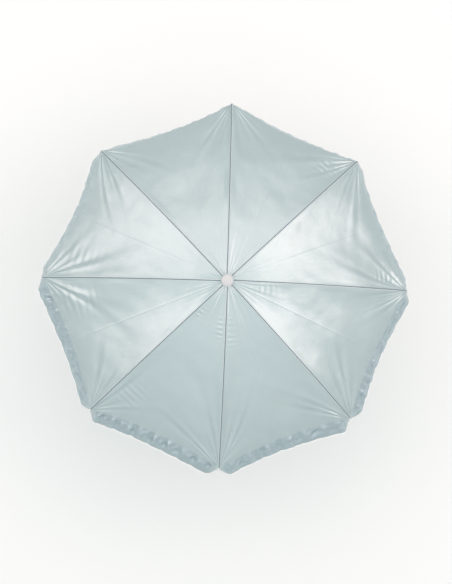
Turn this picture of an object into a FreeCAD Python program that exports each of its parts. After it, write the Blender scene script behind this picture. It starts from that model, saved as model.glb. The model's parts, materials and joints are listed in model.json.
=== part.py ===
"""Silver umbrella reflector: an eight-rib canopy on a slim steel shaft.

The origin is the centre of the shaft's lower end, +Z runs up the shaft to the cap, and the first
rib lies along +X. All sizes are in millimetres. The model is the open umbrella.

Each rib, with the half gores sewn along it, turns down about the crown's wire ring. Its stretcher
is as long as the distance from the crown pivot to the stretcher's joint on the rib, so crown pivot,
joint and runner pivot form an isosceles triangle and the runner travels straight down the shaft.
"""

import math
import os
import re

import FreeCAD
import Part
import Sketcher
from FreeCAD import Placement, Rotation, Vector

# ---------------------------------------------------------------- driving dimensions

RIBS = 8
HALF_STEP = 180.0 / RIBS  # degrees from a rib to the middle of its gore

SIZES = {
    "shaft_radius": 4.0,
    "shaft_wall": 0.8,
    "clamp_length": 115.0,  # plain stretch that a light-stand bracket grips
    "groove_depth": 0.4,
    "groove_height": 1.2,
    "crown_level": 730.0,  # height of the ring that the ribs turn on
    "pivot_radius": 12.0,  # radius of both wire rings
    "tip_radius": 500.0,  # centre line of the shaft to a rib tip
    "dome_depth": 160.0,  # crown pivot down to a rib tip
    "rib_turn": 30.0,  # degrees that a rib bends over its length
    "fold_turn": 66.0,  # degrees that a rib folds down
    "rib_radius": 1.4,
    "eye_radius": 1.7,
    "eye_hole": 0.9,
    "blade_thick": 1.8,
    "blade_length": 9.0,
    "slot_width": 2.4,
    "ring_wire": 0.8,
    "running_gap": 0.08,
    "flange_radius": 14.5,
    "joint_station": 270.0,  # radius at which the stretcher joins the rib
    "joint_drop": 5.0,  # rib centre line down to the joint's rivet
    "clip_radius": 2.4,
    "clip_length": 12.0,
    "cheek_thick": 1.0,
    "rivet_radius": 0.8,
    "tip_ball": 2.4,
    "runner_length": 60.0,
    "sleeve_radius": 6.5,
    "grip_radius": 9.0,
    "cap_radius": 15.8,
    "cap_rise": 8.0,
    "catch_reach": 6.2,
    "catch_length": 24.0,
    "catch_thick": 1.2,
    "pin_radius": 0.6,
    "fabric_gap": 2.1,  # rib centre line up to the underside of the fabric
    "fabric_thick": 0.5,
    "fabric_hole": 6.0,
    "seam_gap": 0.3,  # between the canopy sectors of two ribs
    "scallop": 13.0,  # how far the edge curves in between two tips
    "valance_drop": 45.0,
    "piping_radius": 1.3,
    "hem_inset": 4.0,  # canopy's corner, short of the rib tip
    "hem_step": 0.4,  # valance's sewn edge, below the canopy's underside
    "ring_fit": 0.03,  # clearance round a wire ring in its seat
    "pin_fit": 0.02,
    "rivet_extra": 0.4,  # crown rivet and runner stop, thicker than the catch pins
    "crown_skirt": 18.0,  # crown pivot down to the crown's lower end
    "flange_drop": 5.0,  # a ring down to the flange's underside
    "plug_head": 6.0,
    "plug_stem": 12.0,
    "cap_skirt": 2.8,  # crown pivot up to the cap's rim
    "cap_floor": 4.1,  # crown pivot up to the cap's seat on the washer
    "cap_wall": 1.4,
    "washer_thick": 0.8,
    "flute_width": 1.6,
    "flute_depth": 0.7,
}

S = dict(SIZES)


def arc_height(radius, offset=0.0):
    """Height of the rib's arc, or of a curve parallel to it, at a radius from the shaft."""
    reach = S["arc_radius"] + offset
    return S["arc_z"] + math.sqrt(reach**2 - (radius - S["arc_x"]) ** 2)


def derive():
    """Adds the sizes that follow from the driving ones: the rib's arc, the joint and the runner."""
    run = S["tip_radius"] - S["pivot_radius"]
    chord = math.hypot(run, S["dome_depth"])
    half = math.radians(S["rib_turn"] / 2)
    S["arc_radius"] = chord / (2 * math.sin(half))
    to_centre = S["arc_radius"] * math.cos(half)
    S["arc_x"] = S["pivot_radius"] + run / 2 - S["dome_depth"] / chord * to_centre
    S["arc_z"] = S["crown_level"] - S["dome_depth"] / 2 - run / chord * to_centre
    S["joint_lean"] = math.degrees(math.asin((S["joint_station"] - S["arc_x"]) / S["arc_radius"]))
    lean = math.radians(S["joint_lean"])
    S["joint_x"] = S["joint_station"] - S["joint_drop"] * math.sin(lean)
    S["joint_z"] = arc_height(S["joint_station"]) - S["joint_drop"] * math.cos(lean)
    out = S["joint_x"] - S["pivot_radius"]
    down = S["crown_level"] - S["joint_z"]
    S["stretcher_length"] = math.hypot(out, down)
    S["stretcher_rise"] = math.degrees(math.atan2(down, out))
    S["runner_level"] = S["crown_level"] - 2 * down
    closed = math.radians(S["stretcher_rise"] + S["fold_turn"])
    S["closed_level"] = S["crown_level"] - 2 * S["stretcher_length"] * math.sin(closed)
    S["catch_top"] = S["runner_level"] - S["runner_length"] - 0.3
    S["latch_step"] = S["closed_level"] - 49.5


derive()

# ---------------------------------------------------------------- document helpers

doc = FreeCAD.newDocument("umbrella_reflector")
sheet = doc.addObject("Spreadsheet::Sheet", "Sizes")
for row, (alias, size) in enumerate(S.items(), start=1):
    sheet.set(f"A{row}", alias)
    sheet.set(f"B{row}", str(size))
    sheet.setAlias(f"B{row}", alias)
doc.recompute()

ALIAS = re.compile(r"\b(" + "|".join(sorted(S, key=len, reverse=True)) + r")\b")
kept = []


def bound(text):
    """The same formula with each size written as a cell of the sheet."""
    return ALIAS.sub(r"Sizes.\1", str(text))


def worth(text):
    """The formula's value now."""
    return float(sheet.evalExpression(ALIAS.sub(r"\1", str(text))))


def bind(obj, **formulas):
    for name, text in formulas.items():
        obj.setExpression(name, bound(text))


def keep(obj, label, placement=None):
    """Marks an object as a sub-part: its label names its file."""
    obj.Label = label
    if placement is not None:
        obj.Placement = placement
    kept.append(obj)
    return obj


def around(index):
    """Placement that turns a part from the first rib's plane to another rib's."""
    return Placement(Vector(0, 0, 0), Rotation(Vector(0, 0, 1), index * 2 * HALF_STEP))


# PartDesign


def new_body(name):
    return doc.addObject("PartDesign::Body", name)


def new_sketch(body, role, name):
    sketch = body.newObject("Sketcher::SketchObject", name)
    plane = next(f for f in body.Origin.OriginFeatures if f.Role == role)
    sketch.AttachmentSupport = [(plane, "")]
    sketch.MapMode = "FlatFace"
    return sketch


def fix_point(sketch, geometry, position, x, y):
    """Ties a point of the sketch to two formulas, measured from the sketch's origin."""
    for kind, text in (("DistanceX", x), ("DistanceY", y)):
        index = sketch.addConstraint(
            Sketcher.Constraint(kind, -1, 1, geometry, position, worth(text))
        )
        sketch.setExpression(f"Constraints[{index}]", bound(text))


def draw_polygon(sketch, points):
    """A closed outline whose corners are pairs of formulas."""
    corners = [Vector(worth(x), worth(y), 0) for x, y in points]
    first = sketch.GeometryCount
    count = len(points)
    for i in range(count):
        sketch.addGeometry(Part.LineSegment(corners[i], corners[(i + 1) % count]))
    for i in range(count):
        sketch.addConstraint(
            Sketcher.Constraint("Coincident", first + i, 2, first + (i + 1) % count, 1)
        )
        fix_point(sketch, first + i, 1, *points[i])


def draw_box(sketch, left, low, right, high):
    draw_polygon(sketch, [(left, low), (right, low), (right, high), (left, high)])


def draw_circle(sketch, x, y, radius):
    centre = Vector(worth(x), worth(y), 0)
    index = sketch.addGeometry(Part.Circle(centre, Vector(0, 0, 1), worth(radius)))
    fix_point(sketch, index, 3, x, y)
    size = sketch.addConstraint(Sketcher.Constraint("Radius", index, worth(radius)))
    sketch.setExpression(f"Constraints[{size}]", bound(radius))


def add_turned(body, name, points):
    """Revolves an outline in the XZ plane about Z."""
    sketch = new_sketch(body, "XZ_Plane", name + "_outline")
    draw_polygon(sketch, points)
    turned = body.newObject("PartDesign::Revolution", name)
    turned.Profile = sketch
    turned.ReferenceAxis = (sketch, ["V_Axis"])
    turned.Angle = 360
    return turned


def cut_groove(body, name, draw):
    """Cuts a ring, whose section draw() makes in the XZ plane."""
    sketch = new_sketch(body, "XZ_Plane", name + "_section")
    draw(sketch)
    groove = body.newObject("PartDesign::Groove", name)
    groove.Profile = sketch
    groove.ReferenceAxis = (sketch, ["V_Axis"])
    groove.Angle = 360
    return groove


def cut_through(body, name, width, draw):
    """Cuts a shape drawn in the XZ plane, half of the width to each side of that plane."""
    sketch = new_sketch(body, "XZ_Plane", name + "_shape")
    draw(sketch)
    pocket = body.newObject("PartDesign::Pocket", name)
    pocket.Profile = sketch
    pocket.Midplane = True
    bind(pocket, Length=width)
    return pocket


def repeat_round(body, feature, count, name):
    sketch = feature.Profile[0]
    pattern = body.newObject("PartDesign::PolarPattern", name)
    pattern.Originals = [feature]
    pattern.Axis = (sketch, ["V_Axis"])
    pattern.Angle = 360
    pattern.Occurrences = count
    body.Tip = pattern
    return pattern


# Part primitives, each in the plane of the first rib

ALONG_X = Rotation(Vector(0, 1, 0), 90)
ALONG_Y = Rotation(Vector(1, 0, 0), -90)
UPRIGHT = Rotation()


def rod(name, radius, length, start, turn=UPRIGHT):
    """A cylinder from start, pointing where turn takes +Z."""
    made = doc.addObject("Part::Cylinder", name)
    bind(made, Radius=radius, Height=length)
    made.Placement = Placement(Vector(*start), turn)
    return made


def block(name, size, corner):
    made = doc.addObject("Part::Box", name)
    bind(made, Length=size[0], Width=size[1], Height=size[2])
    made.Placement = Placement(Vector(*corner), UPRIGHT)
    return made


def joined(name, parts):
    made = doc.addObject("Part::MultiFuse", name)
    made.Shapes = parts
    return made


def less(name, base, tool):
    made = doc.addObject("Part::Cut", name)
    made.Base = base
    made.Tool = tool
    return made


def cross_pin(name, radius, half_length, x, z):
    """A pin across the rib's plane, centred on it."""
    return rod(name, radius, f"2 * ({half_length})", (x, -worth(half_length), z), ALONG_Y)


# ---------------------------------------------------------------- shaft group


def catch_outline(step, way):
    """The catch's outline; its flat step looks up if way is 1, or down if way is -1."""
    sign = "-" if way > 0 else "+"
    return [
        ("-1.2", f"{step} {sign} catch_length"),
        ("1.6", f"{step} {sign} catch_length"),
        ("shaft_radius - shaft_wall - 0.3", f"{step} {sign} (catch_length - 2.5)"),
        ("catch_reach", f"{step} {sign} 3"),
        ("catch_reach", step),
        ("1.2", step),
        ("-1.2", f"{step} {sign} 6"),
    ]


CATCHES = {"top_catch": ("catch_top", 1), "bottom_catch": ("latch_step", -1)}
CATCH_PIVOT = 22.0  # from a catch's step to the pin that it turns on
CATCH_PIN_X = 0.2
CROWN_PIN_DROP = 12.0
STOP_PIN_RISE = 3.4
RIVET = "pin_radius + rivet_extra"
RIVET_HOLE = RIVET + " + pin_fit"


def make_shaft_tube():
    body = new_body("shaft_tube")
    sketch = new_sketch(body, "XY_Plane", "shaft_section")
    draw_circle(sketch, "0", "0", "shaft_radius")
    draw_circle(sketch, "0", "0", "shaft_radius - shaft_wall")
    pad = body.newObject("PartDesign::Pad", "shaft_pad")
    pad.Profile = sketch
    bind(pad, Length="crown_level + cap_rise")
    cut_groove(
        body,
        "clamp_groove",
        lambda s: draw_box(
            s,
            "shaft_radius - groove_depth",
            "clamp_length",
            "shaft_radius + 1",
            "clamp_length + groove_height",
        ),
    )
    for name, (step, way) in CATCHES.items():
        low, high = ("- 21", "+ 0.6") if way > 0 else ("- 0.6", "+ 21")
        cut_through(
            body,
            name + "_slot",
            "catch_thick + 0.6",
            lambda s: draw_box(s, "0", f"{step} {low}", "shaft_radius + 1", f"{step} {high}"),
        )
        pivot = f"{step} {'-' if way > 0 else '+'} {CATCH_PIVOT}"
        cut_through(
            body,
            name + "_pin_hole",
            "4 * shaft_radius",
            lambda s: draw_circle(s, str(CATCH_PIN_X), pivot, "pin_radius + pin_fit"),
        )
    for name, level in (
        ("crown_pin_hole", f"crown_level - {CROWN_PIN_DROP}"),
        ("stop_pin_hole", f"runner_level + {STOP_PIN_RISE}"),
    ):
        cut_through(
            body,
            name,
            "4 * shaft_radius",
            lambda s: draw_circle(s, "0", level, RIVET_HOLE),
        )
    keep(body, "shaft_tube")


def make_shaft_pins():
    """Four cross pins: both catches' pivots, the crown's rivet and the runner's stop."""
    pins = []
    for name, (step, way) in CATCHES.items():
        level = S[step] - way * CATCH_PIVOT
        half = "shaft_radius - 0.15"
        pins.append(cross_pin(name + "_pin", "pin_radius", half, CATCH_PIN_X, level))
    crown_pin = worth("crown_level") - CROWN_PIN_DROP
    pins.append(cross_pin("crown_pin", RIVET, "pivot_radius - 5", 0, crown_pin))
    stop_pin = worth("runner_level") + STOP_PIN_RISE
    pins.append(cross_pin("stop_pin", RIVET, "shaft_radius + 1.5", 0, stop_pin))
    group = doc.addObject("Part::Compound", "shaft_pins")
    group.Links = pins
    keep(group, "shaft_pins")


def make_catch(name):
    step, way = CATCHES[name]
    body = new_body(name)
    sketch = new_sketch(body, "XZ_Plane", name + "_outline")
    draw_polygon(sketch, catch_outline(step, way))
    pivot = f"{step} {'-' if way > 0 else '+'} {CATCH_PIVOT}"
    draw_circle(sketch, str(CATCH_PIN_X), pivot, "pin_radius + 0.05")
    pad = body.newObject("PartDesign::Pad", name + "_plate")
    pad.Profile = sketch
    pad.Midplane = True
    bind(pad, Length="catch_thick")
    keep(body, name)


def make_end_plug():
    """Plug in the shaft's lower end; its head is no wider than the shaft."""
    body = new_body("shaft_end_plug")
    add_turned(
        body,
        "plug_form",
        [
            ("0", "-plug_head"),
            ("2.2", "-plug_head"),
            ("shaft_radius - 0.3", "-4"),
            ("shaft_radius - 0.3", "0"),
            ("shaft_radius - shaft_wall", "0"),
            ("shaft_radius - shaft_wall", "plug_stem"),
            ("0", "plug_stem"),
        ],
    )
    keep(body, "shaft_end_plug")


def make_crown():
    body = new_body("crown")
    add_turned(
        body,
        "crown_form",
        [
            ("shaft_radius", "crown_level - crown_skirt"),
            ("pivot_radius - 5.5", "crown_level - crown_skirt"),
            ("pivot_radius - 5", "crown_level - flange_drop"),
            ("flange_radius - 1", "crown_level - flange_drop"),
            ("flange_radius", "crown_level - 4"),
            ("flange_radius", "crown_level + 0.8"),
            ("flange_radius - 1", "crown_level + 1.6"),
            ("shaft_radius", "crown_level + 1.6"),
        ],
    )
    cut_groove(
        body,
        "crown_ring_seat",
        lambda s: draw_circle(s, "pivot_radius", "crown_level", "ring_wire + ring_fit"),
    )
    cut_through(
        body,
        "crown_pin_hole",
        "4 * shaft_radius + 2",
        lambda s: draw_circle(s, "0", f"crown_level - {CROWN_PIN_DROP}", RIVET_HOLE),
    )
    slot = cut_through(
        body,
        "rib_slot",
        "slot_width",
        lambda s: draw_box(
            s, "pivot_radius - 3", "crown_level - 6", "flange_radius + 1", "crown_level + 3"
        ),
    )
    repeat_round(body, slot, RIBS, "rib_slots")
    keep(body, "crown")


def make_ring(label, level):
    ring = doc.addObject("Part::Torus", label)
    bind(ring, Radius1="pivot_radius", Radius2="ring_wire")
    keep(ring, label, Placement(Vector(0, 0, worth(level)), UPRIGHT))


def make_cap():
    """Domed cap with a fluted rim, pressed on the shaft's top end."""
    body = new_body("cap")
    add_turned(
        body,
        "cap_form",
        [
            ("0", "crown_level + cap_rise"),
            ("shaft_radius", "crown_level + cap_rise"),
            ("shaft_radius", "crown_level + cap_floor"),
            ("cap_radius - cap_wall", "crown_level + cap_floor"),
            ("cap_radius - cap_wall", "crown_level + cap_skirt"),
            ("cap_radius", "crown_level + cap_skirt"),
            ("cap_radius", "crown_level + 5.4"),
            ("cap_radius - 1.2", "crown_level + 6.6"),
            ("cap_radius - 5", "crown_level + cap_rise + 0.6"),
            ("cap_radius - 10", "crown_level + cap_rise + 2.2"),
            ("0", "crown_level + cap_rise + 2.8"),
        ],
    )
    flute = cut_through(
        body,
        "flute",
        "flute_width",
        lambda s: draw_box(
            s, "cap_radius - flute_depth", "crown_level + 2", "cap_radius + 1", "crown_level + 8"
        ),
    )
    repeat_round(body, flute, 2 * RIBS, "flutes")
    keep(body, "cap")


def make_cap_washer():
    body = new_body("cap_washer")
    add_turned(
        body,
        "washer_form",
        [
            ("shaft_radius + 0.1", "crown_level + cap_floor - washer_thick"),
            ("cap_radius - 1.8", "crown_level + cap_floor - washer_thick"),
            ("cap_radius - 1.8", "crown_level + cap_floor"),
            ("shaft_radius + 0.1", "crown_level + cap_floor"),
        ],
    )
    keep(body, "cap_washer")


# ---------------------------------------------------------------- runner group


def make_runner():
    body = new_body("runner_blank")
    bore = "shaft_radius + running_gap"
    foot = "runner_level - runner_length"
    add_turned(
        body,
        "runner_form",
        [
            (bore, foot),
            ("grip_radius - 1", foot),
            ("grip_radius", f"{foot} + 1"),
            ("grip_radius", f"{foot} + 7"),
            ("sleeve_radius", f"{foot} + 9"),
            ("sleeve_radius", "runner_level - 6"),
            ("flange_radius - 1", "runner_level - flange_drop"),
            ("flange_radius", "runner_level - 4"),
            ("flange_radius", "runner_level + 1"),
            ("flange_radius - 1", "runner_level + 2"),
            (bore, "runner_level + 2"),
        ],
    )
    cut_groove(
        body,
        "runner_ring_seat",
        lambda s: draw_circle(s, "pivot_radius", "runner_level", "ring_wire + ring_fit"),
    )
    slot = cut_through(
        body,
        "stretcher_slot",
        "slot_width",
        lambda s: draw_box(
            s, "pivot_radius - 3", "runner_level - 7", "flange_radius + 1", "runner_level + 3"
        ),
    )
    repeat_round(body, slot, RIBS, "stretcher_slots")
    # the bottom catch springs out through this window when the canopy is shut
    window = block(
        "window_tool",
        ("grip_radius", "slot_width", "24"),
        (0, -worth("slot_width") / 2, worth("runner_level") - 50),
    )
    keep(less("runner_sleeve", body, window), "runner_sleeve")


# ---------------------------------------------------------------- ribs and stretchers


def make_rib(index):
    name = f"rib_{index + 1}"
    first = math.asin((worth("pivot_radius + blade_length - 1.5") - S["arc_x"]) / S["arc_radius"])
    last = math.asin((worth("tip_radius - 3") - S["arc_x"]) / S["arc_radius"])
    wire = doc.addObject("Part::Torus", name + "_wire")
    bind(wire, Radius1="arc_radius", Radius2="rib_radius")
    wire.Angle3 = math.degrees(last - first)
    # the torus starts on its own +X and turns to +Y; here it starts at the rib's inner end
    centre = Vector(S["arc_x"], 0, S["arc_z"])
    wire.Placement = Placement(
        centre, Rotation(Vector(math.sin(first), 0, math.cos(first)),
                         Vector(math.cos(first), 0, -math.sin(first)), Vector(0, 1, 0), "XYZ")
    )
    x, z = S["pivot_radius"], S["crown_level"]
    half = S["blade_thick"] / 2
    eye = rod(name + "_eye", "eye_radius", "blade_thick", (x, -half, z), ALONG_Y)
    blade = block(
        name + "_blade",
        ("blade_length", "blade_thick", "2 * rib_radius"),
        (x, -half, z - S["rib_radius"] - 0.25),
    )
    solid = joined(name + "_blank", [wire, eye, blade])
    hole = cross_pin(name + "_hole", "eye_hole", "blade_thick", x, z)
    keep(less(name, solid, hole), name, around(index))


def make_rib_tip(index):
    """Ball with a collar around the rib's outer end."""
    name = f"rib_tip_{index + 1}"
    ball = doc.addObject("Part::Sphere", name + "_ball")
    bind(ball, Radius="tip_ball")
    collar = rod(name + "_collar", "rib_radius + 0.35", "8", (-8, 0, 0), ALONG_X)
    solid = joined(name + "_blank", [ball, collar])
    # the bore ends where the rib's wire does
    bore = rod(name + "_bore", "rib_radius + 0.04", "8", (-11.3, 0, 0), ALONG_X)
    lean = math.degrees(math.asin((S["tip_radius"] - S["arc_x"]) / S["arc_radius"]))
    place = Placement(
        Vector(S["tip_radius"], 0, arc_height(S["tip_radius"])), Rotation(Vector(0, 1, 0), lean)
    )
    keep(less(name, solid, bore), name, around(index).multiply(place))


def joint_place(index):
    """The frame of the stretcher's joint on a rib: +X out along the rib, origin on the rivet."""
    at = Vector(S["joint_x"], 0, S["joint_z"])
    return around(index).multiply(Placement(at, Rotation(Vector(0, 1, 0), S["joint_lean"])))


def make_rib_joint(index):
    """Clip crimped on the rib, with two cheeks and the rivet that the stretcher turns on."""
    name = f"rib_joint_{index + 1}"
    half_gap = S["slot_width"] / 2
    cheek = S["cheek_thick"]
    barrel = rod(
        name + "_barrel", "clip_radius", "clip_length",
        (-S["clip_length"] / 2, 0, S["joint_drop"]), ALONG_X,
    )
    plates = [
        block(f"{name}_cheek_{side}", ("5.2", "cheek_thick", "joint_drop + 2.6"), (-2.6, y, -2.6))
        for side, y in (("left", half_gap), ("right", -half_gap - cheek))
    ]
    bore = rod(name + "_bore", "rib_radius + 0.05", "20", (-10, 0, S["joint_drop"]), ALONG_X)
    top = block(name + "_mouth", ("20", "10", "5"), (-10, -5, S["joint_drop"] + 1.1))
    pin = cross_pin(name + "_pin_hole", "rivet_radius + 0.02", "5", 0, 0)
    clip = less(name + "_clip", joined(name + "_blank", [barrel, *plates]),
                joined(name + "_tools", [bore, top, pin]))
    outer = half_gap + cheek
    shank = cross_pin(name + "_shank", "rivet_radius", "slot_width / 2 + cheek_thick + 0.3", 0, 0)
    heads = [
        rod(f"{name}_head_{side}", "rivet_radius + 0.8", "0.5", (0, y, 0), ALONG_Y)
        for side, y in (("left", outer), ("right", -outer - 0.5))
    ]
    group = doc.addObject("Part::Compound", name)
    group.Links = [clip, joined(name + "_rivet", [shank, *heads])]
    keep(group, name, joint_place(index))


def make_stretcher(index):
    """Round bar with a flattened eye at each end, from the runner's ring to the rib's joint."""
    name = f"stretcher_{index + 1}"
    length = S["stretcher_length"]
    half = S["blade_thick"] / 2
    flat = S["rib_radius"] * 2 - 0.4
    bar = rod(
        name + "_bar", "rib_radius - 0.2", "stretcher_length - 2 * blade_length + 3",
        (S["blade_length"] - 1.5, 0, 0), ALONG_X,
    )
    eyes, blades, holes = [], [], []
    for end, x, start in (("inner", 0, 0), ("outer", length, length - S["blade_length"])):
        eyes.append(rod(f"{name}_{end}_eye", "eye_radius", "blade_thick", (x, -half, 0), ALONG_Y))
        blades.append(
            block(f"{name}_{end}_blade", ("blade_length", "blade_thick", "2 * rib_radius - 0.4"),
                  (start, -half, -flat / 2))
        )
        holes.append(cross_pin(f"{name}_{end}_hole", "eye_hole", "blade_thick", x, 0))
    solid = joined(name + "_blank", [bar, *eyes, *blades])
    place = Placement(
        Vector(S["pivot_radius"], 0, S["runner_level"]),
        Rotation(Vector(0, 1, 0), -S["stretcher_rise"]),
    )
    keep(less(name, solid, joined(name + "_holes", holes)), name, around(index).multiply(place))


# ---------------------------------------------------------------- canopy

COS_HALF = math.cos(math.radians(HALF_STEP))
TAN_HALF = math.tan(math.radians(HALF_STEP))
SIN_HALF = math.sin(math.radians(HALF_STEP))


def gore_arc(offset):
    """The gore's curve in its own middle plane, through three points of the ribs' curve.

    A gore is stretched straight from rib to rib, so along its middle it has the rib's height at a
    radius that is shorter by the cosine of half a gore's angle.
    """
    points = [
        Vector(radius * COS_HALF, 0, arc_height(radius, offset))
        for radius in (0.0, S["tip_radius"] / 2, S["tip_radius"] + 5)
    ]
    return Part.Arc(*points)


def hem_circle():
    """Radius and centre distance of the circle that cuts a gore's edge, in the gore's middle plane."""
    span = S["tip_radius"] * SIN_HALF
    radius = (span**2 + S["scallop"] ** 2) / (2 * S["scallop"])
    return radius, (S["tip_radius"] - S["hem_inset"]) * COS_HALF - S["scallop"] + radius


def half_gore(side):
    """Half a gore beside the first rib's plane, as far as the gore's middle."""
    low = gore_arc(S["fabric_gap"])
    high = gore_arc(S["fabric_gap"] + S["fabric_thick"])
    ends = [
        Part.LineSegment(a, b).toShape()
        for a, b in ((low.StartPoint, high.StartPoint), (low.EndPoint, high.EndPoint))
    ]
    edges = Part.sortEdges([low.toShape(), high.toShape(), *ends])[0]
    width = S["tip_radius"] * 0.45
    band = Part.Face(Part.Wire(edges)).extrude(Vector(0, 2 * width, 0))
    band.translate(Vector(0, -width, 0))
    turn = Rotation(Vector(0, 0, 1), side * HALF_STEP)
    band.Placement = Placement(Vector(0, 0, 0), turn).multiply(band.Placement)

    low_z, high_z = S["crown_level"] - 400, S["crown_level"] + 100
    # the wedge stops half a seam gap short of the gore's middle, and at the plane of the rib
    short = S["seam_gap"] / 2 / COS_HALF
    reach = S["tip_radius"] + 20
    apex = Vector(short / TAN_HALF, 0, low_z)
    at_middle = Vector(reach, side * (reach * TAN_HALF - short), low_z)
    at_rib = Vector(reach, 0, low_z)
    wedge = Part.Face(Part.makePolygon([apex, at_middle, at_rib, apex]))
    sector = band.common(wedge.extrude(Vector(0, 0, high_z - low_z)))

    # the edge curves in between two tips
    bite, centre = hem_circle()
    foot = turn.multVec(Vector(centre, 0, 0)) + Vector(0, 0, low_z)
    hem = Part.makeCylinder(bite, high_z - low_z, foot)
    hole = Part.makeCylinder(S["fabric_hole"], high_z - low_z, Vector(0, 0, low_z))
    return sector.cut(hem).cut(hole)


def make_canopy_sector(index, left, right):
    sector = doc.addObject("Part::Feature", f"canopy_sector_{index + 1}")
    sector.Shape = left.fuse(right).removeSplitter()
    keep(sector, f"canopy_sector_{index + 1}", around(index))


# ---------------------------------------------------------------- valance

# share of the way from a tip to the gore's middle; the first leaves room for the tip's ball
VALANCE_STATIONS = (0.022, 0.18, 0.55, 1.0)
FLARE_MEAN, FLARE_SWING = 36.0, 20.0  # degrees from the shaft's direction
TIP_FLARE = 12.0


def hem_point(share, side):
    """A point on the canopy's scalloped edge, in the first rib's frame."""
    bite, centre = hem_circle()
    along = (1 - share) * S["tip_radius"] * SIN_HALF
    out = centre - math.sqrt(bite**2 - along**2)
    height = arc_height(out / COS_HALF, S["fabric_gap"])
    turn = Rotation(Vector(0, 0, 1), side * HALF_STEP)
    return turn.multVec(Vector(out, -side * along, 0)) + Vector(0, 0, height - S["hem_step"])


def valance_flare(share, index, side):
    """Degrees that the valance leans out; it hangs lowest and widest towards -Y."""
    azimuth = math.radians(index * 2 * HALF_STEP + side * HALF_STEP)
    wide = FLARE_MEAN - FLARE_SWING * math.sin(azimuth)
    return TIP_FLARE + (wide - TIP_FLARE) * min(1.0, share / VALANCE_STATIONS[1])


def half_valance(index, side):
    """A strip below half of a gore's edge, with the piping along its lower edge."""
    turn = Rotation(Vector(0, 0, 1), side * HALF_STEP)
    outward = turn.multVec(Vector(1, 0, 0))
    radial = Vector(1, 0, 0)
    sections, hems = [], []
    for share in VALANCE_STATIONS:
        top = hem_point(share, side)
        way = outward * share ** 0.5 + radial * (1 - share**0.5)
        way.normalize()
        flare = math.radians(valance_flare(share, index, side))
        down = way * math.sin(flare) + Vector(0, 0, -math.cos(flare))
        face = way * math.cos(flare) + Vector(0, 0, math.sin(flare))
        if share == VALANCE_STATIONS[-1]:
            top = top + turn.multVec(Vector(0, -side * S["seam_gap"] / 2, 0))
        low = top + down * (S["valance_drop"] - 2 * S["piping_radius"])
        thick = face * S["fabric_thick"]
        sections.append(Part.makePolygon([top, low, low - thick, top - thick, top]))
        hems.append(top + down * (S["valance_drop"] - S["piping_radius"] * 0.9) - thick * 0.5)
    strip = Part.makeLoft(sections, True, True)
    cords = []
    for start, end in zip(hems, hems[1:]):
        cords.append(Part.makeCylinder(S["piping_radius"], (end - start).Length, start, end - start))
    for knee in hems[1:-1]:
        cords.append(Part.makeSphere(S["piping_radius"], knee))
    piping = cords[0].fuse(cords[1:]).removeSplitter()
    return strip, piping


def make_valance(index):
    shapes = []
    for side in (1, -1):
        strip, piping = half_valance(index, side)
        shapes += [strip, piping.cut(strip)]
    valance = doc.addObject("Part::Feature", f"valance_{index + 1}")
    valance.Shape = Part.Compound(shapes)
    keep(valance, f"valance_{index + 1}", around(index))


# ---------------------------------------------------------------- build and export


def build():
    make_shaft_tube()
    make_shaft_pins()
    make_end_plug()
    make_crown()
    make_ring("crown_ring", "crown_level")
    make_cap()
    make_cap_washer()
    make_runner()
    make_ring("runner_ring", "runner_level")
    for name in CATCHES:
        make_catch(name)
    left, right = half_gore(1), half_gore(-1)
    for index in range(RIBS):
        make_rib(index)
        make_rib_tip(index)
        make_rib_joint(index)
        make_stretcher(index)
        make_canopy_sector(index, left, right)
        make_valance(index)
    doc.recompute()


def export():
    for obj in doc.Objects:
        if {"Invalid", "Error"} & set(obj.State):
            raise RuntimeError(f"{obj.Label} failed: {obj.State}")
    os.makedirs("parts", exist_ok=True)
    for obj in kept:
        shape = obj.Shape
        if shape.isNull() or not shape.isValid() or not shape.Solids:
            raise RuntimeError(f"{obj.Label} has no valid solid")
        shape.exportStep(f"parts/{obj.Label}.step")
        print(obj.Label, len(shape.Solids), round(shape.Volume, 2))


build()
export()
print({name: round(size, 3) for name, size in S.items() if name not in SIZES})
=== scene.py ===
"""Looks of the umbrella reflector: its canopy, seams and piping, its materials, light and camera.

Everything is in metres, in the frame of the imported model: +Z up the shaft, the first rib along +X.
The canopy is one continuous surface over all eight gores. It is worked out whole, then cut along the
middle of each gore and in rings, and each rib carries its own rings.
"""

import json
import math

import bpy
import numpy as np
from mathutils import Matrix, Vector


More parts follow.
